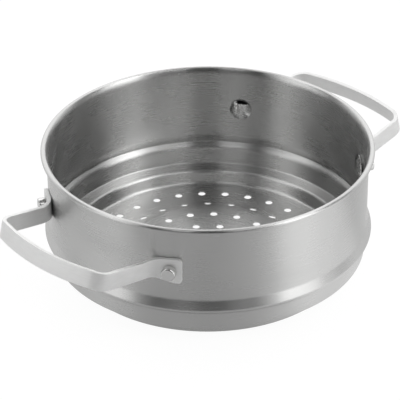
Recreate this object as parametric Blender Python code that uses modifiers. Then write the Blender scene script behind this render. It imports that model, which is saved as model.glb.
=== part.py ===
# Steamer insert for cooking pots: a drawn stainless steel basket with a perforated floor,
# two riveted strap handles and the four rivets that hold them.
#
# Frame: metres, +Z up, origin on the ground at the middle of the floor, handles along X.
# The bead under the wall sits on the brim of the larger pot, the lower ledge on the smaller one.

import math

import bmesh
import bpy
from mathutils import Vector

# Pots that the insert is made for, and the play left inside each brim
LARGE_POT_BORE = 0.2000
SMALL_POT_BORE_STEP = 0.0190
POT_PLAY = 0.0014

# Sheet and wall of the basket
SHEET = 0.0008
DEPTH = 0.0807
LIP_FLARE = 0.0035
LIP_HEIGHT = 0.0026
LIP_ROUND = 0.0018
WALL_OFFSET = 0.0001

# Bead that rests on the brim: how far it stands out, and its places below the lip
BEAD_PROUD = 0.0028
BEAD_SKIRT_SHARE = 0.40
BEAD_START = 0.0405
BEAD_SHOULDER = 0.0492
BEAD_PEAK = 0.0556
BEAD_ROUND = 0.0022
BEAD_END = 0.0614

# Plug below the bead, the ledge under it and the foot that carries the floor
PLUG_END = 0.0706
PLUG_TAPER = 0.0012
PLUG_CORNER = 0.0016
LEDGE_FALL = 0.0016
LEDGE_FILLET = 0.0014
FOOT_TAPER = 0.0022
FOOT_CORNER = 0.0030

# Floor: a raised middle and rings of steam holes, six more in each ring than in the last
FLOOR_RAISE = 0.0024
RAISE_RING = 4
RAISE_WIDTH = 0.0100
HOLE_RADIUS = 0.00238
HOLE_PITCH = 0.01468
HOLE_EDGE_WEB = 0.0050
HOLE_SIDES = 8
RING_STEP = 6

# Strap handles
STRAP = 0.0024
GRIP_REACH = 0.0390
GRIP_WIDTH = 0.0108
GRIP_RISE = 0.0090
GRIP_TILT_DEG = 17.0
GRIP_HALF_SPAN = 0.0441
GRIP_BEND = 0.0073
ARM_HALF_SPAN = 0.0439
ARM_FALL = 0.0075
NECK_WIDTH = 0.0108
WALL_BEND = 0.0072
TAB_WIDTH = 0.0160
TAB_LENGTH = 0.0177
TAB_SPREAD = 0.0083
TAB_CORNER = 0.0026
STRAP_EDGE = 0.0005

# Rivets, one through each tab
RIVET_DROP = 0.0290
RIVET_SETBACK = 0.0073
SHANK_RADIUS = 0.0026
INNER_HEAD_RADIUS = 0.0070
INNER_HEAD_HEIGHT = 0.0022
HEAD_LAND = 0.0005
OUTER_HEAD_RADIUS = 0.0043
OUTER_HEAD_HEIGHT = 0.0046
OUTER_HEAD_ROUND = 0.0012

# Clearance between touching pieces, overrun of the cuts, and facet counts
GAP = 0.0003
OVERRUN = 0.0020
BASKET_STEPS = 60
RIVET_STEPS = 20
SHANK_HOLE_SIDES = 16
SMOOTH_ANGLE = math.radians(32.0)

# Radii and heights that follow from the sizes above
PLUG_RADIUS = LARGE_POT_BORE / 2 - POT_PLAY
PLUG_FOOT_RADIUS = PLUG_RADIUS - PLUG_TAPER
WALL_RADIUS = PLUG_RADIUS - WALL_OFFSET
BEAD_RADIUS = WALL_RADIUS + BEAD_PROUD
RIM_RADIUS = WALL_RADIUS + LIP_FLARE
FOOT_RADIUS = (LARGE_POT_BORE - SMALL_POT_BORE_STEP) / 2 - POT_PLAY
FOOT_END_RADIUS = FOOT_RADIUS - FOOT_TAPER
FLOOR_RADIUS = FOOT_END_RADIUS - FOOT_CORNER
RAISE_RADIUS = RAISE_RING * HOLE_PITCH
RAISE_INNER = RAISE_RADIUS - RAISE_WIDTH / 2
RAISE_OUTER = RAISE_RADIUS + RAISE_WIDTH / 2
HOLE_RINGS = int((FLOOR_RADIUS - HOLE_EDGE_WEB - HOLE_RADIUS) / HOLE_PITCH)
WALL_BORE = WALL_RADIUS - SHEET
TAB_RADIUS = WALL_RADIUS + GAP + STRAP / 2
GRIP_RADIUS = WALL_RADIUS + GRIP_REACH
RIVET_HEIGHT = DEPTH - RIVET_DROP
GRIP_HEIGHT = RIVET_HEIGHT + GRIP_RISE
WALL_BEND_ANGLE = math.asin(ARM_HALF_SPAN / TAB_RADIUS)
TAB_END_ANGLE = WALL_BEND_ANGLE + TAB_LENGTH / TAB_RADIUS
RIVET_ANGLE = TAB_END_ANGLE - RIVET_SETBACK / TAB_RADIUS
# a round head bears on the hollow wall at its two sides, so its seat lies inside the bore
INNER_SEAT = math.sqrt(WALL_BORE ** 2 - INNER_HEAD_RADIUS ** 2) - GAP
OUTER_SEAT = TAB_RADIUS + STRAP / 2 + GAP


def clear_scene():
    for item in list(bpy.data.objects):
        bpy.data.objects.remove(item, do_unlink=True)


def new_collection(name):
    group = bpy.data.collections.new(name)
    bpy.context.scene.collection.children.link(group)
    return group


def make_material(name, colour, roughness):
    material = bpy.data.materials.new(name)
    material.use_nodes = True
    shader = material.node_tree.nodes["Principled BSDF"]
    shader.inputs["Base Color"].default_value = (*colour, 1.0)
    shader.inputs["Metallic"].default_value = 1.0
    shader.inputs["Roughness"].default_value = roughness
    return material


def add_object(name, mesh, group, material=None):
    item = bpy.data.objects.new(name, mesh)
    group.objects.link(item)
    if material:
        mesh.materials.append(material)
    return item


def mesh_from_bmesh(name, bm):
    mesh = bpy.data.meshes.new(name)
    bm.to_mesh(mesh)
    bm.free()
    return mesh


def evaluated_mesh(item, name):
    graph = bpy.context.evaluated_depsgraph_get()
    mesh = bpy.data.meshes.new_from_object(item.evaluated_get(graph))
    mesh.name = name
    return mesh


def shade(item):
    item.data.shade_smooth()
    item.data.set_sharp_from_angle(angle=SMOOTH_ANGLE)


def arc_between(start, corner, end, count):
    # points of a curve that leaves start and reaches end square to the corner's two sides
    points = []
    for index in range(count + 1):
        t = index / count
        points.append(start * (1 - t) ** 2 + corner * (2 * t * (1 - t)) + end * t ** 2)
    return points


def rounded(before, corner, after, radius, count):
    # a rounded corner that never uses more than half of either side
    side_in = (before - corner) / 2
    side_out = (after - corner) / 2
    reach = min(radius, side_in.length, side_out.length)
    start = corner + side_in.normalized() * reach
    end = corner + side_out.normalized() * reach
    return arc_between(start, corner, end, count)


def profile_mesh(name, points):
    # a line of points in the XZ plane, from the top of the outer side downwards
    bm = bmesh.new()
    line = [bm.verts.new((point[0], 0.0, point[1])) for point in points]
    for first, second in zip(line, line[1:]):
        bm.edges.new((first, second))
    return mesh_from_bmesh(name, bm)


def add_screw(item, steps):
    screw = item.modifiers.new("turned", "SCREW")
    screw.axis = "Z"
    screw.angle = math.tau
    screw.steps = steps
    screw.render_steps = steps
    screw.use_merge_vertices = True
    screw.merge_threshold = GAP / 30
    return screw


def add_cut(item, cutter):
    cut = item.modifiers.new("cut " + cutter.name, "BOOLEAN")
    cut.operation = "DIFFERENCE"
    cut.solver = "EXACT"
    cut.object = cutter


def lip_points():
    # the lip leans outwards from the wall, with a tight bend at its foot
    edge = Vector((RIM_RADIUS, DEPTH))
    foot = Vector((WALL_RADIUS, DEPTH - LIP_HEIGHT))
    below = Vector((WALL_RADIUS, DEPTH - BEAD_START))
    return [edge] + rounded(edge, foot, below, LIP_ROUND, 4)


def bead_points():
    # the wall swells slowly, then stands out to the fold that rests on the brim
    start = Vector((WALL_RADIUS, DEPTH - BEAD_START))
    shoulder = Vector((WALL_RADIUS + BEAD_PROUD * BEAD_SKIRT_SHARE, DEPTH - BEAD_SHOULDER))
    middle = Vector((WALL_RADIUS, (start[1] + shoulder[1]) / 2))
    peak = Vector((BEAD_RADIUS, DEPTH - BEAD_PEAK))
    seat = Vector((PLUG_RADIUS, DEPTH - BEAD_END))
    points = arc_between(start, middle, shoulder, 3)
    points += rounded(shoulder, peak, seat, BEAD_ROUND, 3)
    points.append(seat)
    return points


def foot_points():
    # plug, ledge, foot and the outer part of the floor
    seat = Vector((PLUG_RADIUS, DEPTH - BEAD_END))
    ledge_out = Vector((PLUG_FOOT_RADIUS, DEPTH - PLUG_END))
    ledge_in = Vector((FOOT_RADIUS, DEPTH - PLUG_END - LEDGE_FALL))
    corner = Vector((FOOT_END_RADIUS, 0.0))
    floor = Vector((RAISE_OUTER, 0.0))
    points = rounded(seat, ledge_out, ledge_in, PLUG_CORNER, 3)
    points += rounded(ledge_out, ledge_in, corner, LEDGE_FILLET, 2)
    points += rounded(ledge_in, corner, floor, FOOT_CORNER, 3)
    points.append(floor)
    points.append(Vector((RAISE_INNER, FLOOR_RAISE)))
    return points


def hole_places():
    # the middle hole, then rings that hold six more holes each, with one spoke on the handles' axis
    places = [(0.0, 0.0)]
    for ring in range(1, HOLE_RINGS + 1):
        count = RING_STEP * ring
        for index in range(count):
            angle = math.tau * index / count
            places.append((ring * HOLE_PITCH, angle))
    return places


def steam_hole_cutter(group):
    # one cutter of all the steam holes; a flat of each drill faces along its spoke
    bm = bmesh.new()
    height = FLOOR_RAISE + 2 * (SHEET + OVERRUN)
    for radius, angle in hole_places():
        made = bmesh.ops.create_cone(
            bm, cap_ends=True, segments=HOLE_SIDES,
            radius1=HOLE_RADIUS, radius2=HOLE_RADIUS, depth=height)
        turn = angle + math.pi / HOLE_SIDES
        centre = Vector((radius * math.cos(angle), radius * math.sin(angle), FLOOR_RAISE / 2))
        for vert in made["verts"]:
            x, y, z = vert.co
            vert.co.x = x * math.cos(turn) - y * math.sin(turn)
            vert.co.y = x * math.sin(turn) + y * math.cos(turn)
            vert.co += centre
    cutter = add_object("steam_hole_cutter", mesh_from_bmesh("steam_hole_cutter", bm), group)
    hide_cutter(cutter)
    return cutter


def hide_cutter(cutter):
    cutter.hide_render = True
    cutter.display_type = "WIRE"


def shank_cutter(name, angle, group):
    # a drill for one rivet, lying along the rivet's own radius
    bm = bmesh.new()
    bmesh.ops.create_cone(
        bm, cap_ends=True, segments=SHANK_HOLE_SIDES,
        radius1=SHANK_RADIUS + GAP, radius2=SHANK_RADIUS + GAP,
        depth=2 * (SHEET + STRAP + OVERRUN))
    cutter = add_object(name, mesh_from_bmesh(name, bm), group)
    place_on_wall(cutter, angle, TAB_RADIUS - STRAP / 2)
    hide_cutter(cutter)
    return cutter


def place_on_wall(item, angle, radius):
    # turn the item's own Z to point outwards along the radius at the rivets' height
    item.rotation_euler = (0.0, math.pi / 2, angle)
    item.location = (radius * math.cos(angle), radius * math.sin(angle), RIVET_HEIGHT)


def fill_middle(mesh, name):
    # close the turned sheet's open middle with one flat face, the outer side looking down
    bm = bmesh.new()
    bm.from_mesh(mesh)
    level = FLOOR_RAISE + GAP / 2
    reach = RAISE_INNER + GAP
    ring = [edge for edge in bm.edges if edge.is_boundary and edge_is_inside(edge, reach, level)]
    middle = bmesh.ops.contextual_create(bm, geom=ring)["faces"][0]
    bmesh.ops.recalc_face_normals(bm, faces=bm.faces[:])
    if middle.normal.z > 0.0:
        bmesh.ops.reverse_faces(bm, faces=bm.faces[:])
    return mesh_from_bmesh(name, bm)


def edge_is_inside(edge, reach, level):
    return all(vert.co.z < level and vert.co.xy.length < reach for vert in edge.verts)


def make_basket(group, cutters, material, shank_cutters):
    profile = add_object("steamer_profile", profile_mesh(
        "steamer_profile", lip_points() + bead_points() + foot_points()), group)
    add_screw(profile, BASKET_STEPS)
    turned = evaluated_mesh(profile, "steamer_turned")
    bpy.data.objects.remove(profile, do_unlink=True)
    basket = add_object("steamer_basket", fill_middle(turned, "steamer_basket"), group, material)
    sheet = basket.modifiers.new("sheet", "SOLIDIFY")
    sheet.thickness = SHEET
    sheet.offset = -1.0
    sheet.use_even_offset = True
    shade(basket)
    add_cut(basket, steam_hole_cutter(cutters))
    for cutter in shank_cutters:
        add_cut(basket, cutter)
    return basket


def ease(share):
    # a soft start and a soft end between nought and one
    share = min(max(share, 0.0), 1.0)
    return share * share * (3 - 2 * share)


def polar(radius, angle):
    return Vector((radius * math.cos(angle), radius * math.sin(angle)))


def strap_path():
    # half of the strap's middle line seen from above, in four runs: the grip, the arm with
    # the bend that starts it, the bend at the wall and the tab
    corner_angle = math.asin(GRIP_HALF_SPAN / GRIP_RADIUS)
    grip_end = corner_angle - GRIP_BEND / GRIP_RADIUS
    tab_start = WALL_BEND_ANGLE + WALL_BEND / TAB_RADIUS
    corner = polar(GRIP_RADIUS, corner_angle)
    wall_corner = polar(TAB_RADIUS, WALL_BEND_ANGLE)
    arm = (wall_corner - corner).normalized()
    arm_start = corner + arm * GRIP_BEND
    arm_end = wall_corner - arm * WALL_BEND
    grip_count = 5
    bend_count = 5
    wall_bend_count = 6
    arm_count = 4
    grip = [polar(GRIP_RADIUS, grip_end * index / grip_count) for index in range(grip_count)]
    grip_bend = arc_between(polar(GRIP_RADIUS, grip_end), corner, arm_start, bend_count)
    straight = [arm_start.lerp(arm_end, index / arm_count) for index in range(1, arm_count)]
    wall_bend = arc_between(arm_end, wall_corner, polar(TAB_RADIUS, tab_start), wall_bend_count)
    return grip, grip_bend + straight, wall_bend, tab_points(tab_start)


def tab_points(tab_start):
    # stations along the tab, closer together round its end corners
    plain_end = TAB_END_ANGLE - TAB_CORNER / TAB_RADIUS
    points = [polar(TAB_RADIUS, tab_start + (plain_end - tab_start) * index / 4) for index in range(1, 5)]
    for index in range(1, 5):
        along = TAB_CORNER * math.sin(math.pi / 2 * index / 4)
        points.append(polar(TAB_RADIUS, plain_end + along / TAB_RADIUS))
    return points


def running_lengths(points):
    lengths = [0.0]
    for first, second in zip(points, points[1:]):
        lengths.append(lengths[-1] + (second - first).length)
    return lengths


def blend(start, end, share):
    return start + (end - start) * share


def end_rounding(length, total):
    # how much the tab's end corners take off its half width
    into = min(max((length - total + TAB_CORNER) / TAB_CORNER, 0.0), 1.0)
    return TAB_CORNER * (1 - math.sqrt(1 - into ** 2))


def strap_mesh(name):
    # the middle surface of half a strap: the grip leans inwards, the arm falls and turns
    # upright on its way to the wall, and the tab spreads round its rivet
    grip, arm, wall_bend, tab = strap_path()
    points = grip + arm + wall_bend + tab
    lengths = running_lengths(points)
    arm_from = lengths[len(grip)]
    arm_to = lengths[len(grip) + len(arm)]
    tab_from = lengths[len(grip) + len(arm) + len(wall_bend) - 1]
    bm = bmesh.new()
    rows = []
    for point, length in zip(points, lengths):
        down = min(max((length - arm_from) / (arm_to - arm_from), 0.0), 1.0)
        settled = ease((length - arm_to) / (tab_from + TAB_SPREAD - arm_to))
        height = blend(GRIP_HEIGHT - ARM_FALL * down, RIVET_HEIGHT, settled)
        tilt = math.radians(blend(GRIP_TILT_DEG, 0.0, down))
        half = blend(blend(GRIP_WIDTH, NECK_WIDTH, down), TAB_WIDTH, settled) / 2
        half -= end_rounding(length, lengths[-1])
        across = Vector((-math.sin(tilt), 0.0, math.cos(tilt)))
        middle = Vector((point[0], point[1], height))
        rows.append([bm.verts.new(middle + across * half * side) for side in (1, 0, -1)])
    for first, second in zip(rows, rows[1:]):
        bm.faces.new((first[0], first[1], second[1], second[0]))
        bm.faces.new((first[1], first[2], second[2], second[1]))
    return mesh_from_bmesh(name, bm)


def make_handle(name, turn, group, material, shank_cutters):
    handle = add_object(name, strap_mesh(name), group, material)
    handle.rotation_euler = (0.0, 0.0, turn)
    mirror = handle.modifiers.new("other half", "MIRROR")
    mirror.use_axis = (False, True, False)
    mirror.merge_threshold = GAP / 30
    thick = handle.modifiers.new("strap", "SOLIDIFY")
    thick.thickness = STRAP
    thick.offset = 0.0
    thick.use_even_offset = True
    edge = handle.modifiers.new("eased edges", "BEVEL")
    edge.width = STRAP_EDGE
    edge.segments = 1
    edge.limit_method = "ANGLE"
    edge.angle_limit = math.radians(50.0)
    shade(handle)
    for cutter in shank_cutters:
        add_cut(handle, cutter)
    return handle


def dome(radius, height, count):
    # a shallow round head from its crown to the top of its land
    ball = (radius ** 2 + height ** 2) / (2 * height)
    spread = math.asin(radius / ball)
    points = []
    for index in range(count + 1):
        angle = spread * index / count
        points.append(Vector((ball * math.sin(angle), ball * (math.cos(angle) - math.cos(spread)))))
    return points


def rivet_mesh_points():
    # along the rivet's own Z, measured from the outer head's seat: a drum outside, a dome inside
    inner = OUTER_SEAT - INNER_SEAT
    face = Vector((0.0, OUTER_HEAD_HEIGHT))
    shoulder = Vector((OUTER_HEAD_RADIUS, OUTER_HEAD_HEIGHT))
    base = Vector((OUTER_HEAD_RADIUS, 0.0))
    points = [face] + rounded(face, shoulder, base, OUTER_HEAD_ROUND, 3)
    points.append(base)
    points.append(Vector((SHANK_RADIUS, 0.0)))
    points.append(Vector((SHANK_RADIUS, -inner)))
    points.append(Vector((INNER_HEAD_RADIUS, -inner)))
    inner_dome = dome(INNER_HEAD_RADIUS, INNER_HEAD_HEIGHT - HEAD_LAND, 4)
    points += [Vector((point[0], -inner - HEAD_LAND - point[1])) for point in reversed(inner_dome)]
    return points


def make_rivet(name, angle, group, material):
    rivet = add_object(name, profile_mesh(name, rivet_mesh_points()), group, material)
    add_screw(rivet, RIVET_STEPS)
    place_on_wall(rivet, angle, OUTER_SEAT)
    shade(rivet)
    return rivet


def build():
    clear_scene()
    parts = new_collection("steamer_insert")
    cutters = new_collection("cutters")
    brushed = make_material("brushed_steel", (0.60, 0.60, 0.59), 0.34)
    satin = make_material("satin_steel", (0.78, 0.78, 0.77), 0.26)
    polished = make_material("polished_steel", (0.72, 0.72, 0.71), 0.12)
    places = {
        "rivet_right_back": RIVET_ANGLE,
        "rivet_right_front": -RIVET_ANGLE,
        "rivet_left_front": math.pi + RIVET_ANGLE,
        "rivet_left_back": math.pi - RIVET_ANGLE,
    }
    drills = {name: shank_cutter("drill_" + name, angle, cutters) for name, angle in places.items()}
    make_basket(parts, cutters, brushed, list(drills.values()))
    for side, turn in (("right", 0.0), ("left", math.pi)):
        own = [cutter for name, cutter in drills.items() if side in name]
        make_handle("handle_" + side, turn, parts, satin, own)
    for name, angle in places.items():
        make_rivet(name, angle, parts, polished)


build()
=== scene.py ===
# Steamer insert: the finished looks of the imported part, built around its fixed frame.
#
# Frame: metres, +Z up, origin on the ground at the middle of the floor, handles along X.

import math

import bmesh
import bpy
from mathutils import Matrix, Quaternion, Vector
from mathutils.geometry import delaunay_2d_cdt


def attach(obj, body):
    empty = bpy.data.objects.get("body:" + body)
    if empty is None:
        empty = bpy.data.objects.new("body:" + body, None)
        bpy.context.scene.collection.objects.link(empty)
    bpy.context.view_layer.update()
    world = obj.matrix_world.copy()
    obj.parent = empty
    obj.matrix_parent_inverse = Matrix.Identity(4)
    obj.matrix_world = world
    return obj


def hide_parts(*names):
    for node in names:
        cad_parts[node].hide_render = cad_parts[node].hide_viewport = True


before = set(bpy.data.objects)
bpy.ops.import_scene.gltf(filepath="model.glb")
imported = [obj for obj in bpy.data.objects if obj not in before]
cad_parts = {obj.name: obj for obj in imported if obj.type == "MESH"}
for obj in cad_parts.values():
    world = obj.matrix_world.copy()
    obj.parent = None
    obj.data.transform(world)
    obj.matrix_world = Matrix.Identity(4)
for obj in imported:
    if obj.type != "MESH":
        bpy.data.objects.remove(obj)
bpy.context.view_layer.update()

# Sheet, wall and rolled lip of the basket. The lip's edge is rolled outwards and hangs down a
# little: LIP_END is where the roll ends and LIP_TURN where it goes over into the short flare.
SHEET = 0.0008
DEPTH = 0.0807
WALL_RADIUS = 0.0985
LIP_FLARE = 0.0035
LIP_ROLL = 0.0009
LIP_END = math.radians(-12.0)
LIP_TURN = math.radians(150.0)
LIP_RUN = 0.0020
RIM_RADIUS = WALL_RADIUS + LIP_FLARE

# Bead that rests on a pot's brim. Its heights run down from the top of the lip.
BEAD_PROUD = 0.0032
BEAD_SKIRT_SHARE = 0.13
BEAD_START = 0.0405
BEAD_SHOULDER = 0.0496
BEAD_PEAK = 0.0560
BEAD_CREASE = 0.0008
BEAD_ROUND = 0.0013
BEAD_END = 0.0590
SEAT_INSET = 0.0004
SEAT_ROUND = 0.0018

# Plug, ledge and foot
PLUG_RADIUS = 0.0986
PLUG_END = 0.0706
PLUG_TAPER = 0.0012
PLUG_CORNER = 0.0016
LEDGE_FALL = 0.0016
LEDGE_FILLET = 0.0014
FOOT_RADIUS = 0.0891
FOOT_TAPER = 0.0022
FOOT_CORNER = 0.0030
FOOT_END_RADIUS = FOOT_RADIUS - FOOT_TAPER

# Floor with its raised middle and rings of steam holes
FLOOR_RAISE = 0.0024
RAISE_RING = 4
RAISE_WIDTH = 0.0100
HOLE_RADIUS = 0.00238
HOLE_EASE = 0.00015
HOLE_EDGE = HOLE_RADIUS + HOLE_EASE
HOLE_PITCH = 0.01468
HOLE_RINGS = 5
RING_STEP = 6
RAISE_RADIUS = RAISE_RING * HOLE_PITCH
RAISE_INNER = RAISE_RADIUS - RAISE_WIDTH / 2
RAISE_OUTER = RAISE_RADIUS + RAISE_WIDTH / 2
FLOOR_JOIN = 0.0800

# Strap handles
STRAP = 0.0024
STRAP_WIDTH = 0.0108
STRAP_EDGE = 0.0007
GRIP_RADIUS = 0.1375
GRIP_HEIGHT = 0.0607
GRIP_TILT = math.radians(17.0)
GRIP_HALF_SPAN = 0.0441
GRIP_BEND = 0.0073
ARM_HALF_SPAN = 0.0439
ARM_FALL = 0.0075
WALL_BEND = 0.0072
TAB_WIDTH = 0.0160
TAB_LENGTH = 0.0177
TAB_SPREAD = 0.0083
TAB_CORNER = 0.0026
GAP = 0.0003
TAB_RADIUS = WALL_RADIUS + GAP + STRAP / 2

# Rivets and the holes drilled for them
RIVET_HEIGHT = 0.0517
RIVET_SETBACK = 0.0073
SHANK_RADIUS = 0.0026
INNER_HEAD_RADIUS = 0.0070
INNER_HEAD_HEIGHT = 0.0022
HEAD_LAND = 0.0005
OUTER_HEAD_RADIUS = 0.0043
OUTER_HEAD_HEIGHT = 0.0046
OUTER_HEAD_ROUND = 0.0012
DRILL_LENGTH = 4 * STRAP
WALL_BORE = WALL_RADIUS - SHEET
WALL_BEND_ANGLE = math.asin(ARM_HALF_SPAN / TAB_RADIUS)
TAB_END_ANGLE = WALL_BEND_ANGLE + TAB_LENGTH / TAB_RADIUS
RIVET_ANGLE = TAB_END_ANGLE - RIVET_SETBACK / TAB_RADIUS
INNER_SEAT = math.sqrt(WALL_BORE ** 2 - INNER_HEAD_RADIUS ** 2) - GAP
OUTER_SEAT = TAB_RADIUS + STRAP / 2 + GAP

# Fineness of the turned, bent and drilled shapes
TURNS = 240
RIVET_TURNS = 48
HOLE_SIDES = 24
DRILL_SIDES = 32
LIP_STEPS = 18
CROWN_STEPS = 6
CREASE_STEPS = 4
CURVE_STEPS = 8
FOOT_STEPS = 10
DOME_STEPS = 12
GRIP_STEPS = 16
ARM_STEPS = 12
WALL_BEND_STEPS = 14
TAB_STEPS = 10
EDGE_STEPS = 4
STRAP_ACROSS = (1.0, 0.5, 0.0, -0.5, -1.0)
EDGE_ANGLE = math.radians(50.0)
SMOOTH_ANGLE = math.radians(35.0)
MITRE_LEAST = 0.3
WELD = 2e-6
MIRROR_WELD = 1e-5

# Net of loose points that the floor is triangulated with, closer where the floor rises. A triangle
# is left out if its middle is in a hole, to OPEN_SHARE of the square of the hole's radius.
NET_START = 0.0037
NET_STEP = 0.0036
NET_FINE_STEP = 0.00125
NET_FINE_MARGIN = 0.002
NET_END_MARGIN = 0.001
NET_SPACING = 0.0030
NET_LEAST = 6
NET_CLEAR = 0.0007
NET_WELD = 1e-7
OPEN_SHARE = 0.98

# How the middle part of a noise is spread over a range of colour or roughness
COLOUR_LOW = 0.35
COLOUR_HIGH = 0.65
ROUGH_LOW = 0.3
ROUGH_HIGH = 0.7

# Finish of the basket: lines round the axis, wider streaks and faint smudges
BRUSHED_DARK = (0.595, 0.595, 0.59)
BRUSHED_LIGHT = (0.615, 0.615, 0.61)
BRUSHED_ROUGHNESS = 0.27
BRUSHED_SPREAD = 1.0
BRUSHED_TURN = 0.25
AXIS_CLEAR = 0.0001
GRAIN_WIDTH = 0.00035
GRAIN_ALONG = 8.0
GRAIN_DETAIL = 2.0
GRAIN_SHARE = 0.55
GRAIN_DEPTH = 0.0000003
STREAK_WIDTH = 0.0022
STREAK_ALONG = 2.5
STREAK_DETAIL = 3.0
STREAK_SHARE = 0.45
STREAK_DEPTH = 0.0000006
LINE_ROUGHNESS = 0.012
SMUDGE_SIZE = 0.030
SMUDGE_DETAIL = 2.0
SMUDGE_ROUGHNESS = 0.015

# Finish of the straps: level lines and soft clouds, paler than the basket, partly from a lighter
# finish and partly as painted light for the stronger light on the straps
SATIN_DARK_WITH_PAINTED_LIGHT = (0.88, 0.88, 0.875)
SATIN_LIGHT_WITH_PAINTED_LIGHT = (0.94, 0.94, 0.935)
SATIN_METAL = 0.65
SATIN_ROUGHNESS = 0.54
SATIN_ROUGHNESS_REACH = 0.04
SATIN_LENGTH = 0.0060
SATIN_WIDTH = 0.0005
SATIN_DETAIL = 3.0
SATIN_SHARE = 0.6
SATIN_DEPTH = 0.000004
CLOUD_SIZE = 0.0080
CLOUD_DETAIL = 2.0
CLOUD_SHARE = 0.4

# Finish of the rivets: the waves of a pressed head and fine marks
POLISHED_DARK = (0.66, 0.66, 0.655)
POLISHED_LIGHT = (0.74, 0.74, 0.735)
POLISHED_ROUGHNESS = 0.08
POLISHED_ROUGHNESS_REACH = 0.02
WAVE_SIZE = 0.0040
WAVE_DETAIL = 1.0
WAVE_DEPTH = 0.00008
MARK_SIZE = 0.0006
MARK_DETAIL = 3.0
MARK_DEPTH = 0.000004

# Studio. A soft box has a bearing, a half width and its softness, a lower and an upper elevation
# and their softness, and a level. A flag has the same, with the share of the light that it takes.
# Bearings start at the camera and grow towards the picture's right side.
STUDIO_FILL = 0.05
STUDIO_BOXES = (
    (64.0, 24.0, 12.0, -8.0, 14.0, 5.0, 1.28),
    (65.0, 13.5, 7.0, 14.0, 62.0, 5.0, 2.25),
    (-72.0, 17.0, 9.0, -8.0, 12.0, 4.0, 1.70),
    (-66.0, 16.0, 10.0, 12.0, 46.0, 5.0, 1.05),
    (180.0, 105.0, 30.0, 46.0, 64.0, 6.0, 1.50),
    (180.0, 110.0, 30.0, 64.0, 80.0, 6.0, 0.65),
    (8.0, 42.0, 8.0, 38.0, 62.0, 5.0, 1.05),
    (28.0, 14.0, 6.0, 34.0, 60.0, 5.0, 0.15),
    (0.0, 70.0, 20.0, 66.0, 88.0, 5.0, 0.27),
    (180.0, 80.0, 25.0, -8.0, 13.0, 3.0, 1.00),
    (180.0, 60.0, 25.0, 13.0, 46.0, 4.0, 1.25),
)
STUDIO_FLAGS = (
    (-9.0, 31.0, 3.5, -10.0, 36.0, 5.0, 0.97),
    (2.0, 13.0, 3.0, 24.0, 66.0, 4.0, 0.90),
)

# Floor. It glows with FLOOR_WHITE for the camera and with FLOOR_SEEN for metal, which each sector
# changes: a bearing, a half width, its softness and the change. The darker sector in front is
# painted shade where the flag stands, and the brighter one at the right is painted light under the
# right soft box.
FLOOR_HALF = 3.0
FLOOR_GAP = 0.0002
FLOOR_COLOUR = (0.8, 0.8, 0.8, 1.0)
FLOOR_ROUGHNESS = 0.9
FLOOR_SHARE = 0.88
FLOOR_WHITE = 1.07
FLOOR_SEEN = 0.72
FLOOR_PAINTED_SHADE_AND_LIGHT = ((-8.0, 22.0, 24.0, -0.22), (64.0, 11.0, 22.0, 0.40))

# Camera of the photograph
CAMERA_TARGET = Vector((-0.0035, 0.0035, 0.0401))
CAMERA_AZIMUTH = math.radians(-44.9)
CAMERA_ELEVATION = math.radians(31.17)
CAMERA_ROLL = math.radians(-0.45)
CAMERA_DISTANCE = 1.3356
CAMERA_LENS = 193.9
CAMERA_SENSOR = 36.0
CAMERA_NEAR = 0.05
CAMERA_FAR = 20.0


def add_object(name, mesh, material=None):
    item = bpy.data.objects.new(name, mesh)
    bpy.context.scene.collection.objects.link(item)
    if material:
        mesh.materials.append(material)
    return item


def mesh_from_bmesh(name, bm):
    mesh = bpy.data.meshes.new(name)
    bm.to_mesh(mesh)
    bm.free()
    return mesh


def apply_modifiers(item):
    graph = bpy.context.evaluated_depsgraph_get()
    mesh = bpy.data.meshes.new_from_object(item.evaluated_get(graph))
    old = item.data
    mesh.name = old.name
    item.modifiers.clear()
    item.data = mesh
    bpy.data.meshes.remove(old)


def shade(item):
    item.data.shade_smooth()
    item.data.set_sharp_from_angle(angle=SMOOTH_ANGLE)


def blend(start, end, share):
    return start + (end - start) * share


def ease(share):
    share = min(max(share, 0.0), 1.0)
    return share * share * (3 - 2 * share)


def polar(radius, angle):
    return Vector((radius * math.cos(angle), radius * math.sin(angle)))


def circle(radius, count, turn=0.0, middle=(0.0, 0.0), first=0):
    # points round a circle; first is the share of a step by which they are moved on
    points = []
    for index in range(count):
        angle = turn + math.tau * (index + first) / count
        points.append((middle[0] + radius * math.cos(angle), middle[1] + radius * math.sin(angle)))
    return points


def arc_between(start, corner, end, count):
    points = []
    for index in range(count + 1):
        t = index / count
        points.append(start * (1 - t) ** 2 + corner * (2 * t * (1 - t)) + end * t ** 2)
    return points


def rounded(before, corner, after, radius, count):
    side_in = (before - corner) / 2
    side_out = (after - corner) / 2
    reach = min(radius, side_in.length, side_out.length)
    start = corner + side_in.normalized() * reach
    end = corner + side_out.normalized() * reach
    return arc_between(start, corner, end, count)


def join_rings(bm, rings, turned_over=False):
    # a band of faces between each ring of points and the next
    for first, second in zip(rings, rings[1:]):
        for index in range(len(first)):
            after = (index + 1) % len(first)
            corners = [first[index], second[index], second[after], first[after]]
            if turned_over:
                corners = [first[index], first[after], second[after], second[index]]
            bm.faces.new(corners)


def turned_rings(bm, line, count):
    # a line of radii and heights, turned round the Z axis
    rings = [
        [bm.verts.new((x, y, height)) for x, y in circle(radius, count)]
        for radius, height in line]
    join_rings(bm, rings)
    return rings


# Basket

def lip_line():
    # the outer side of the rolled lip, from its hanging edge down to the straight wall
    roll = Vector((RIM_RADIUS - SHEET - LIP_ROLL, DEPTH - SHEET - LIP_ROLL))
    points = []
    for index in range(LIP_STEPS + 1):
        angle = LIP_END + (LIP_TURN - LIP_END) * index / LIP_STEPS
        points.append(roll + LIP_ROLL * polar(1.0, angle))
    leave = points[-1]
    fall = (leave[0] - WALL_RADIUS) / math.tan(math.pi - LIP_TURN)
    bend = Vector((WALL_RADIUS, leave[1] - fall))
    return points + arc_between(leave, bend, bend - Vector((0.0, LIP_RUN)), CURVE_STEPS)[1:]


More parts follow.
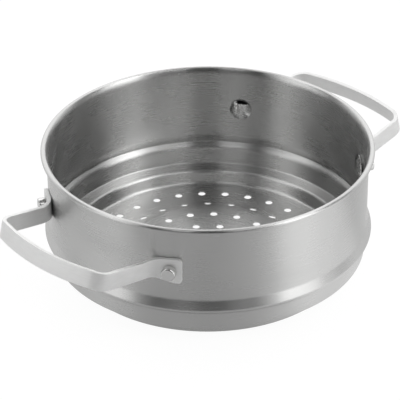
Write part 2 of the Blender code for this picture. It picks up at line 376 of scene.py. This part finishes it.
def outer_line():
    # the basket's outer side from the lip's edge down to the floor, radius and height
    start = Vector((WALL_RADIUS, DEPTH - BEAD_START))
    shoulder = Vector((WALL_RADIUS + BEAD_PROUD * BEAD_SKIRT_SHARE, DEPTH - BEAD_SHOULDER))
    middle = Vector((WALL_RADIUS, (start[1] + shoulder[1]) / 2))
    peak = Vector((WALL_RADIUS + BEAD_PROUD, DEPTH - BEAD_PEAK))
    seat = Vector((PLUG_RADIUS - SEAT_INSET, DEPTH - BEAD_END))
    ledge_out = Vector((PLUG_RADIUS - PLUG_TAPER, DEPTH - PLUG_END))
    ledge_in = Vector((FOOT_RADIUS, DEPTH - PLUG_END - LEDGE_FALL))
    corner = Vector((FOOT_END_RADIUS, 0.0))
    floor = Vector((RAISE_OUTER, 0.0))
    skirt = arc_between(start, middle, shoulder, CURVE_STEPS)
    points = lip_line() + skirt[:-2]
    points += rounded(skirt[-3], shoulder, peak, BEAD_CREASE, CREASE_STEPS)
    points += rounded(shoulder, peak, seat, BEAD_ROUND, CURVE_STEPS)
    points += rounded(peak, seat, ledge_out, SEAT_ROUND, CURVE_STEPS)
    points += rounded(seat, ledge_out, ledge_in, PLUG_CORNER, CURVE_STEPS)
    points += rounded(ledge_out, ledge_in, corner, LEDGE_FILLET, CURVE_STEPS)
    points += rounded(ledge_in, corner, floor, FOOT_CORNER, FOOT_STEPS)
    points.append(Vector((FLOOR_JOIN, 0.0)))
    return points


def inner_line(points):
    # the same line moved inwards by the sheet's thickness
    made = []
    last = len(points) - 1
    for index, point in enumerate(points):
        into = (point - points[index - 1]).normalized() if index else None
        out = (points[index + 1] - point).normalized() if index < last else None
        into = into or out
        out = out or into
        normal_in = Vector((into[1], -into[0]))
        normal_out = Vector((out[1], -out[0]))
        normal = (normal_in + normal_out).normalized()
        made.append(point + normal * SHEET / max(normal.dot(normal_in), MITRE_LEAST))
    return made


def crown_line(outer, inner):
    # the round of the sheet's cut edge, from the inner line's end to the outer line's
    edge = outer[0] - inner[0]
    away = (outer[0] - outer[1]).normalized()
    middle = (outer[0] + inner[0]) / 2
    points = []
    for index in range(1, CROWN_STEPS):
        angle = math.pi * index / CROWN_STEPS
        points.append(middle + edge / 2 * -math.cos(angle) + away * (SHEET / 2) * math.sin(angle))
    return points


def hole_places():
    places = [(0.0, 0.0)]
    for ring in range(1, HOLE_RINGS + 1):
        places += circle(ring * HOLE_PITCH, RING_STEP * ring)
    return places


def near_hole(point, places, square):
    # whether a point lies nearer to a hole's middle than the root of square
    x, y = point
    return any((x - a) ** 2 + (y - b) ** 2 < square for a, b in places)


def floor_height(radius):
    return FLOOR_RAISE * ease((RAISE_OUTER - radius) / RAISE_WIDTH)


def net_radii():
    radii = []
    radius = NET_START
    while radius < FLOOR_JOIN - NET_END_MARGIN:
        radii.append(radius)
        near_rise = RAISE_INNER - NET_FINE_MARGIN < radius < RAISE_OUTER + NET_FINE_MARGIN
        radius += NET_FINE_STEP if near_rise else NET_STEP
    return radii


def floor_points(places):
    # the outlines of the floor and its holes, with their edges, and the net between them
    outlines = [circle(FLOOR_JOIN, TURNS)]
    outlines += [circle(HOLE_EDGE, HOLE_SIDES, math.atan2(y, x), (x, y)) for x, y in places]
    points = []
    edges = []
    for outline in outlines:
        base = len(points)
        count = len(outline)
        points += [Vector(point) for point in outline]
        edges += [(base + index, base + (index + 1) % count) for index in range(count)]
    clear = (HOLE_EDGE + NET_CLEAR) ** 2
    for radius in net_radii():
        count = max(NET_LEAST, int(math.tau * radius / NET_SPACING))
        for point in circle(radius, count, first=0.5):
            if not near_hole(point, places, clear):
                points.append(Vector(point))
    return points, edges


def floor_sides(bm, places):
    # both faces of the floor, with its holes left open
    points, edges = floor_points(places)
    flat, _, faces = delaunay_2d_cdt(points, edges, [], 0, NET_WELD)[:3]
    lower = []
    upper = []
    for point in flat:
        height = floor_height(point.length)
        lower.append(bm.verts.new((point.x, point.y, height)))
        upper.append(bm.verts.new((point.x, point.y, height + SHEET)))
    for face in faces:
        centre = sum((flat[index] for index in face), Vector((0.0, 0.0))) / len(face)
        if not near_hole(centre, places, HOLE_EDGE ** 2 * OPEN_SHARE):
            bm.faces.new([upper[index] for index in face])
            bm.faces.new([lower[index] for index in reversed(face)])


def hole_walls(bm, places):
    # each hole's wall, with its edges eased above and below
    steps = (
        (HOLE_EDGE, 0.0), (HOLE_RADIUS, HOLE_EASE),
        (HOLE_RADIUS, SHEET - HOLE_EASE), (HOLE_EDGE, SHEET))
    for x, y in places:
        rings = []
        for radius, rise in steps:
            rings.append([
                bm.verts.new((a, b, floor_height(math.hypot(a, b)) + rise))
                for a, b in circle(radius, HOLE_SIDES, math.atan2(y, x), (x, y))])
        join_rings(bm, rings, turned_over=True)


def basket_mesh():
    bm = bmesh.new()
    outer = outer_line()
    inner = inner_line(outer)
    turned_rings(bm, list(reversed(inner)) + crown_line(outer, inner) + outer, TURNS)
    places = hole_places()
    floor_sides(bm, places)
    hole_walls(bm, places)
    bmesh.ops.remove_doubles(bm, verts=bm.verts[:], dist=WELD)
    bmesh.ops.recalc_face_normals(bm, faces=bm.faces[:])
    return mesh_from_bmesh("basket", bm)


# Holes for the rivets

def place_on_wall(item, angle, radius):
    item.rotation_euler = (0.0, math.pi / 2, angle)
    item.location = (*polar(radius, angle), RIVET_HEIGHT)


def drill(name, angle):
    radius = SHANK_RADIUS + GAP
    bm = bmesh.new()
    bmesh.ops.create_cone(
        bm, cap_ends=True, segments=DRILL_SIDES, radius1=radius, radius2=radius,
        depth=DRILL_LENGTH)
    cutter = add_object(name, mesh_from_bmesh(name, bm))
    place_on_wall(cutter, angle, TAB_RADIUS - STRAP / 2)
    return cutter


def cut(item, cutters):
    for cutter in cutters:
        modifier = item.modifiers.new(cutter.name, "BOOLEAN")
        modifier.operation = "DIFFERENCE"
        modifier.solver = "EXACT"
        modifier.object = cutter
    apply_modifiers(item)


# Handles

def tab_points(tab_start):
    plain_end = TAB_END_ANGLE - TAB_CORNER / TAB_RADIUS
    points = []
    for index in range(1, TAB_STEPS + 1):
        angle = tab_start + (plain_end - tab_start) * index / TAB_STEPS
        points.append(polar(TAB_RADIUS, angle))
    for index in range(1, CURVE_STEPS + 1):
        along = TAB_CORNER * math.sin(math.pi / 2 * index / CURVE_STEPS)
        points.append(polar(TAB_RADIUS, plain_end + along / TAB_RADIUS))
    return points


def strap_path():
    # half of the strap's middle line seen from above: grip, arm with its bend, wall bend and tab
    corner_angle = math.asin(GRIP_HALF_SPAN / GRIP_RADIUS)
    grip_end = corner_angle - GRIP_BEND / GRIP_RADIUS
    tab_start = WALL_BEND_ANGLE + WALL_BEND / TAB_RADIUS
    corner = polar(GRIP_RADIUS, corner_angle)
    wall_corner = polar(TAB_RADIUS, WALL_BEND_ANGLE)
    along = (wall_corner - corner).normalized()
    arm_start = corner + along * GRIP_BEND
    arm_end = wall_corner - along * WALL_BEND
    grip = [polar(GRIP_RADIUS, grip_end * index / GRIP_STEPS) for index in range(GRIP_STEPS)]
    arm = arc_between(polar(GRIP_RADIUS, grip_end), corner, arm_start, GRIP_STEPS)
    arm += [arm_start.lerp(arm_end, index / ARM_STEPS) for index in range(1, ARM_STEPS)]
    wall_bend = arc_between(arm_end, wall_corner, polar(TAB_RADIUS, tab_start), WALL_BEND_STEPS)
    return grip, arm, wall_bend, tab_points(tab_start)


def running_lengths(points):
    lengths = [0.0]
    for first, second in zip(points, points[1:]):
        lengths.append(lengths[-1] + (second - first).length)
    return lengths


def end_rounding(length, total):
    into = min(max((length - total + TAB_CORNER) / TAB_CORNER, 0.0), 1.0)
    return TAB_CORNER * (1 - math.sqrt(1 - into ** 2))


def strap_mesh(name):
    # the grip leans inwards, the arm falls and turns upright on its way to the wall
    grip, arm, wall_bend, tab = strap_path()
    points = grip + arm + wall_bend + tab
    lengths = running_lengths(points)
    arm_from = lengths[len(grip)]
    arm_to = lengths[len(grip) + len(arm)]
    tab_from = lengths[len(grip) + len(arm) + len(wall_bend) - 1]
    bm = bmesh.new()
    rows = []
    for point, length in zip(points, lengths):
        down = min(max((length - arm_from) / (arm_to - arm_from), 0.0), 1.0)
        settled = ease((length - arm_to) / (tab_from + TAB_SPREAD - arm_to))
        height = blend(GRIP_HEIGHT - ARM_FALL * down, RIVET_HEIGHT, settled)
        tilt = blend(GRIP_TILT, 0.0, down)
        half = blend(STRAP_WIDTH, TAB_WIDTH, settled) / 2 - end_rounding(length, lengths[-1])
        across = Vector((-math.sin(tilt), 0.0, math.cos(tilt)))
        middle = Vector((point[0], point[1], height))
        rows.append([bm.verts.new(middle + across * half * side) for side in STRAP_ACROSS])
    for first, second in zip(rows, rows[1:]):
        for index in range(len(first) - 1):
            bm.faces.new((first[index], first[index + 1], second[index + 1], second[index]))
    return mesh_from_bmesh(name, bm)


def make_handle(name, turn, material, drills):
    handle = add_object(name, strap_mesh(name), material)
    handle.rotation_euler = (0.0, 0.0, turn)
    mirror = handle.modifiers.new("other half", "MIRROR")
    mirror.use_axis = (False, True, False)
    mirror.merge_threshold = MIRROR_WELD
    thick = handle.modifiers.new("strap", "SOLIDIFY")
    thick.thickness = STRAP
    thick.offset = 0.0
    thick.use_even_offset = True
    edge = handle.modifiers.new("eased edges", "BEVEL")
    edge.width = STRAP_EDGE
    edge.segments = EDGE_STEPS
    edge.limit_method = "ANGLE"
    edge.angle_limit = EDGE_ANGLE
    apply_modifiers(handle)
    handle.data.transform(handle.matrix_basis)
    handle.rotation_euler = (0.0, 0.0, 0.0)
    cut(handle, drills)
    shade(handle)
    return handle


# Rivets

def dome_line():
    # the inner head's dome from its middle to its rim, radius and height
    height = INNER_HEAD_HEIGHT - HEAD_LAND
    ball = (INNER_HEAD_RADIUS ** 2 + height ** 2) / (2 * height)
    spread = math.asin(INNER_HEAD_RADIUS / ball)
    points = []
    for index in range(DOME_STEPS + 1):
        angle = spread * index / DOME_STEPS
        points.append(Vector((ball * math.sin(angle), ball * (math.cos(angle) - math.cos(spread)))))
    return points


def rivet_line():
    # from the outer head's face down through the wall to the inner head's dome
    inner = OUTER_SEAT - INNER_SEAT
    face = Vector((0.0, OUTER_HEAD_HEIGHT))
    shoulder = Vector((OUTER_HEAD_RADIUS, OUTER_HEAD_HEIGHT))
    base = Vector((OUTER_HEAD_RADIUS, 0.0))
    points = [face] + rounded(face, shoulder, base, OUTER_HEAD_ROUND, CURVE_STEPS)
    points.append(base)
    points.append(Vector((SHANK_RADIUS, 0.0)))
    points.append(Vector((SHANK_RADIUS, -inner)))
    points.append(Vector((INNER_HEAD_RADIUS, -inner)))
    points += [Vector((x, -inner - HEAD_LAND - rise)) for x, rise in reversed(dome_line())]
    return points


def make_rivet(name, angle, material):
    bm = bmesh.new()
    line = rivet_line()
    rings = turned_rings(bm, line[1:-1], RIVET_TURNS)
    for ring, point in ((rings[0], line[0]), (rings[-1], line[-1])):
        tip = bm.verts.new((0.0, 0.0, point[1]))
        for index in range(RIVET_TURNS):
            bm.faces.new((tip, ring[index], ring[(index + 1) % RIVET_TURNS]))
    bmesh.ops.recalc_face_normals(bm, faces=bm.faces[:])
    rivet = add_object(name, mesh_from_bmesh(name, bm), material)
    place_on_wall(rivet, angle, OUTER_SEAT)
    shade(rivet)
    return rivet


# Materials

class Nodes:
    # adds nodes to one tree and joins them; a value is a number or another node's output
    def __init__(self, tree):
        self.tree = tree

    def add(self, kind, **values):
        node = self.tree.nodes.new(kind)
        for name, value in values.items():
            setattr(node, name, value)
        return node

    def put(self, value, socket):
        if isinstance(value, bpy.types.NodeSocket):
            self.tree.links.new(value, socket)
        else:
            socket.default_value = value

    def feed(self, node, *values):
        for value, socket in zip(values, node.inputs):
            self.put(value, socket)
        return node

    def math(self, operation, *values):
        return self.feed(self.add("ShaderNodeMath", operation=operation), *values).outputs[0]

    def vector_math(self, operation, *values):
        node = self.feed(self.add("ShaderNodeVectorMath", operation=operation), *values)
        return node.outputs["Value" if operation in ("DOT_PRODUCT", "LENGTH") else "Vector"]

    def split(self, vector):
        node = self.feed(self.add("ShaderNodeSeparateXYZ"), vector)
        return node.outputs[0], node.outputs[1], node.outputs[2]

    def combine(self, x, y, z):
        return self.feed(self.add("ShaderNodeCombineXYZ"), x, y, z).outputs[0]

    def level_part(self, vector):
        # a direction's level part, made one long, and its height
        x, y, height = self.split(vector)
        return self.vector_math("NORMALIZE", self.combine(x, y, 0.0)), height

    def spread(self, value, from_low, from_high, to_low, to_high, smooth=False):
        kind = "SMOOTHSTEP" if smooth else "LINEAR"
        node = self.add("ShaderNodeMapRange", interpolation_type=kind)
        return self.feed(node, value, from_low, from_high, to_low, to_high).outputs[0]

    def around(self, value, middle, reach):
        # a number that goes to either side of a middle with a noise
        return self.spread(value, ROUGH_LOW, ROUGH_HIGH, middle - reach, middle + reach)

    def weighed(self, first, first_share, second, second_share):
        return self.math(
            "ADD", self.math("MULTIPLY", first, first_share),
            self.math("MULTIPLY", second, second_share))

    def noise(self, vector, scale, detail, fourth=None):
        node = self.add("ShaderNodeTexNoise", noise_dimensions="3D" if fourth is None else "4D")
        self.put(vector, node.inputs["Vector"])
        if fourth is not None:
            self.put(fourth, node.inputs["W"])
        node.inputs["Scale"].default_value = scale
        node.inputs["Detail"].default_value = detail
        return node.outputs["Fac"]

    def tone(self, value, dark, light):
        # a grey that runs from dark to light with a noise
        node = self.add("ShaderNodeMix", data_type="RGBA")
        share = self.spread(value, COLOUR_LOW, COLOUR_HIGH, 0.0, 1.0)
        self.put(share, node.inputs["Factor"])
        node.inputs["A"].default_value = (*dark, 1.0)
        node.inputs["B"].default_value = (*light, 1.0)
        return node.outputs["Result"]

    def choose(self, share, plain, other):
        # one number, or the other where share is one
        node = self.add("ShaderNodeMix", data_type="FLOAT")
        self.put(share, node.inputs["Factor"])
        self.put(plain, node.inputs["A"])
        self.put(other, node.inputs["B"])
        return node.outputs["Result"]

    def bump(self, height, distance, normal=None):
        node = self.add("ShaderNodeBump")
        self.put(height, node.inputs["Height"])
        node.inputs["Distance"].default_value = distance
        node.inputs["Strength"].default_value = 1.0
        if normal is not None:
            self.put(normal, node.inputs["Normal"])
        return node.outputs[0]


def metal(name, share=1.0):
    # a new metal material, its shader, its nodes and the place on the object
    material = bpy.data.materials.new(name)
    material.use_nodes = True
    shader = material.node_tree.nodes["Principled BSDF"]
    shader.inputs["Metallic"].default_value = share
    nodes = Nodes(material.node_tree)
    return material, shader, nodes, nodes.add("ShaderNodeTexCoord").outputs["Object"]


def put_finish(nodes, shader, colour, roughness, normal):
    nodes.put(colour, shader.inputs["Base Color"])
    nodes.put(roughness, shader.inputs["Roughness"])
    nodes.put(normal, shader.inputs["Normal"])


def brushed_steel():
    # brushed round the axis on a lathe: each line runs along a circle, so light spreads up and
    # down the wall
    material, shader, nodes, place = metal("brushed_steel_look")
    x, y, z = nodes.split(place)
    radius = nodes.vector_math("LENGTH", nodes.combine(x, y, 0.0))
    radius = nodes.math("MAXIMUM", radius, AXIS_CLEAR)
    turn_x = nodes.math("DIVIDE", x, radius)
    turn_y = nodes.math("DIVIDE", y, radius)

    def rings(along, across, detail):
        # noise that is long round the axis and fine across the lines
        vector = nodes.combine(
            nodes.math("MULTIPLY", turn_x, along), nodes.math("MULTIPLY", turn_y, along),
            nodes.math("MULTIPLY", radius, across))
        return nodes.noise(vector, 1.0, detail, nodes.math("MULTIPLY", z, across))

    grain = rings(GRAIN_ALONG, 1 / GRAIN_WIDTH, GRAIN_DETAIL)
    streaks = rings(STREAK_ALONG, 1 / STREAK_WIDTH, STREAK_DETAIL)
    smudges = nodes.noise(place, 1 / SMUDGE_SIZE, SMUDGE_DETAIL)
    lines = nodes.weighed(grain, GRAIN_SHARE, streaks, STREAK_SHARE)
    rough = nodes.math(
        "ADD", nodes.around(lines, 0.0, LINE_ROUGHNESS),
        nodes.around(smudges, 0.0, SMUDGE_ROUGHNESS))
    rough = nodes.math("ADD", rough, BRUSHED_ROUGHNESS)
    relief = nodes.bump(grain, GRAIN_DEPTH, nodes.bump(streaks, STREAK_DEPTH))
    put_finish(nodes, shader, nodes.tone(lines, BRUSHED_DARK, BRUSHED_LIGHT), rough, relief)
    shader.inputs["Anisotropic"].default_value = BRUSHED_SPREAD
    shader.inputs["Anisotropic Rotation"].default_value = BRUSHED_TURN
    tangent = nodes.add("ShaderNodeTangent", direction_type="RADIAL", axis="Z")
    nodes.put(tangent.outputs[0], shader.inputs["Tangent"])
    return material


def satin_steel():
    # a strap finished along its length, with its lines level, that partly scatters the light
    material, shader, nodes, place = metal("satin_steel_look", SATIN_METAL)
    x, y, z = nodes.split(place)
    vector = nodes.combine(
        nodes.math("MULTIPLY", x, 1 / SATIN_LENGTH), nodes.math("MULTIPLY", y, 1 / SATIN_LENGTH),
        nodes.math("MULTIPLY", z, 1 / SATIN_WIDTH))
    lines = nodes.noise(vector, 1.0, SATIN_DETAIL)
    clouds = nodes.noise(place, 1 / CLOUD_SIZE, CLOUD_DETAIL)
    mixed = nodes.weighed(lines, SATIN_SHARE, clouds, CLOUD_SHARE)
    rough = nodes.around(mixed, SATIN_ROUGHNESS, SATIN_ROUGHNESS_REACH)
    relief = nodes.bump(lines, SATIN_DEPTH)
    # the straps' pale tone is partly a lighter finish and partly painted light
    put_finish(nodes, shader, nodes.tone(mixed, SATIN_DARK_WITH_PAINTED_LIGHT, SATIN_LIGHT_WITH_PAINTED_LIGHT), rough, relief)
    return material


def polished_steel():
    # rivet heads: nearly a mirror, with the faint waviness of a pressed head
    material, shader, nodes, place = metal("polished_steel_look")
    waves = nodes.noise(place, 1 / WAVE_SIZE, WAVE_DETAIL)
    marks = nodes.noise(place, 1 / MARK_SIZE, MARK_DETAIL)
    rough = nodes.around(marks, POLISHED_ROUGHNESS, POLISHED_ROUGHNESS_REACH)
    relief = nodes.bump(marks, MARK_DEPTH, nodes.bump(waves, WAVE_DEPTH))
    put_finish(nodes, shader, nodes.tone(marks, POLISHED_DARK, POLISHED_LIGHT), rough, relief)
    return material


# Studio

def bearing(degrees):
    # a level direction: nought is towards the camera, and it grows towards the picture's right side
    angle = math.radians(degrees)
    front = Vector((math.sin(CAMERA_AZIMUTH), -math.cos(CAMERA_AZIMUTH), 0.0))
    right = Vector((math.cos(CAMERA_AZIMUTH), math.sin(CAMERA_AZIMUTH), 0.0))
    return front * math.cos(angle) + right * math.sin(angle)


def round_window(nodes, level_way, middle, half, soft):
    # one inside a sector round a bearing, falling to nought at its soft sides
    facing = nodes.vector_math("DOT_PRODUCT", level_way, tuple(bearing(middle)))
    outer = math.cos(math.radians(half + soft))
    inner = math.cos(math.radians(max(half - soft, 0.0)))
    return nodes.spread(facing, outer, inner, 0.0, 1.0, True)


def height_window(nodes, height, low, high, soft):
    # one between two elevations, with soft edges; height is the sine of the elevation
    def sine(degrees):
        return math.sin(math.radians(min(degrees, 90.0)))

    up = nodes.spread(height, sine(low - soft), sine(low + soft), 0.0, 1.0, True)
    down = nodes.spread(height, sine(high - soft), sine(high + soft), 1.0, 0.0, True)
    return nodes.math("MULTIPLY", up, down)


def studio_shape(nodes, level_way, height, middle, half, side_soft, low, high, edge_soft):
    # one inside a soft box or a flag, and nought outside it
    sector = round_window(nodes, level_way, middle, half, side_soft)
    return nodes.math("MULTIPLY", sector, height_window(nodes, height, low, high, edge_soft))


def make_world():
    # white for the camera; every other ray meets a studio of soft boxes that stays where it is
    world = bpy.data.worlds.new("studio")
    bpy.context.scene.world = world
    world.use_nodes = True
    nodes = Nodes(world.node_tree)
    background = world.node_tree.nodes["Background"]
    level_way, height = nodes.level_part(nodes.add("ShaderNodeTexCoord").outputs["Generated"])
    light = STUDIO_FILL
    for *place, level in STUDIO_BOXES:
        shape = studio_shape(nodes, level_way, height, *place)
        light = nodes.math("ADD", light, nodes.math("MULTIPLY", shape, level))
    for *place, share in STUDIO_FLAGS:
        shape = studio_shape(nodes, level_way, height, *place)
        kept = nodes.math("SUBTRACT", 1.0, nodes.math("MULTIPLY", shape, share))
        light = nodes.math("MULTIPLY", light, kept)
    path = nodes.add("ShaderNodeLightPath")
    strength = nodes.choose(path.outputs["Is Camera Ray"], light, 1.0)
    nodes.put(strength, background.inputs["Strength"])
    background.inputs["Color"].default_value = (1.0, 1.0, 1.0, 1.0)


def make_floor():
    # a pale floor, white to the camera; metal sees it with painted shade in front, where the flag
    # stands, and painted light at the right
    bm = bmesh.new()
    bmesh.ops.create_grid(bm, x_segments=1, y_segments=1, size=FLOOR_HALF)
    material = bpy.data.materials.new("floor")
    material.use_nodes = True
    tree = material.node_tree
    nodes = Nodes(tree)
    shader = tree.nodes["Principled BSDF"]
    shader.inputs["Base Color"].default_value = FLOOR_COLOUR
    shader.inputs["Roughness"].default_value = FLOOR_ROUGHNESS
    level_way, _ = nodes.level_part(nodes.add("ShaderNodeNewGeometry").outputs["Position"])
    seen_with_painted_shade_and_light = FLOOR_SEEN
    # each sector adds painted shade in front or painted light at the right to what metal sees of
    # the floor
    for middle, half, side_soft, painted_change in FLOOR_PAINTED_SHADE_AND_LIGHT:
        sector = round_window(nodes, level_way, middle, half, side_soft)
        seen_with_painted_shade_and_light = nodes.math("ADD", seen_with_painted_shade_and_light, nodes.math("MULTIPLY", sector, painted_change))
    path = nodes.add("ShaderNodeLightPath")
    glow = nodes.add("ShaderNodeEmission")
    strength = nodes.choose(path.outputs["Is Glossy Ray"], FLOOR_WHITE, seen_with_painted_shade_and_light)
    nodes.put(strength, glow.inputs["Strength"])
    rays = nodes.math("MAXIMUM", path.outputs["Is Camera Ray"], path.outputs["Is Glossy Ray"])
    rays = nodes.math("MAXIMUM", rays, path.outputs["Is Transmission Ray"])
    share = nodes.math("MULTIPLY", rays, FLOOR_SHARE)
    mix = nodes.feed(nodes.add("ShaderNodeMixShader"), share, shader.outputs[0], glow.outputs[0])
    nodes.put(mix.outputs[0], tree.nodes["Material Output"].inputs["Surface"])
    floor = add_object("floor", mesh_from_bmesh("floor", bm), material)
    floor.location.z = -FLOOR_GAP


def make_camera():
    camera = add_object("camera", bpy.data.cameras.new("camera"))
    level = math.cos(CAMERA_ELEVATION)
    back = Vector((
        math.sin(CAMERA_AZIMUTH) * level, -math.cos(CAMERA_AZIMUTH) * level,
        math.sin(CAMERA_ELEVATION)))
    roll = Quaternion((0.0, 0.0, 1.0), CAMERA_ROLL)
    camera.location = CAMERA_TARGET + back * CAMERA_DISTANCE
    camera.rotation_mode = "QUATERNION"
    camera.rotation_quaternion = (-back).to_track_quat("-Z", "Y") @ roll
    camera.data.lens = CAMERA_LENS
    camera.data.sensor_width = CAMERA_SENSOR
    camera.data.clip_start = CAMERA_NEAR
    camera.data.clip_end = CAMERA_FAR
    bpy.context.scene.camera = camera


def build():
    bpy.context.scene.view_settings.view_transform = "Standard"
    brushed = brushed_steel()
    satin = satin_steel()
    polished = polished_steel()
    places = {
        "rivet_right_back": RIVET_ANGLE,
        "rivet_right_front": -RIVET_ANGLE,
        "rivet_left_front": math.pi + RIVET_ANGLE,
        "rivet_left_back": math.pi - RIVET_ANGLE,
    }
    drills = {name: drill("drill_" + name, angle) for name, angle in places.items()}
    basket = add_object("basket", basket_mesh(), brushed)
    cut(basket, drills.values())
    shade(basket)
    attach(basket, "root")
    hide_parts("steamer_basket")
    for side, turn in (("right", 0.0), ("left", math.pi)):
        own = [cutter for name, cutter in drills.items() if side in name]
        handle = make_handle("strap_" + side, turn, satin, own)
        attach(handle, "root")
        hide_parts("handle_" + side)
    for name, angle in places.items():
        rivet = make_rivet("head_" + name, angle, polished)
        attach(rivet, "root")
        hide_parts(name)
    for cutter in drills.values():
        bpy.data.objects.remove(cutter, do_unlink=True)
    make_world()
    make_floor()
    make_camera()


build()
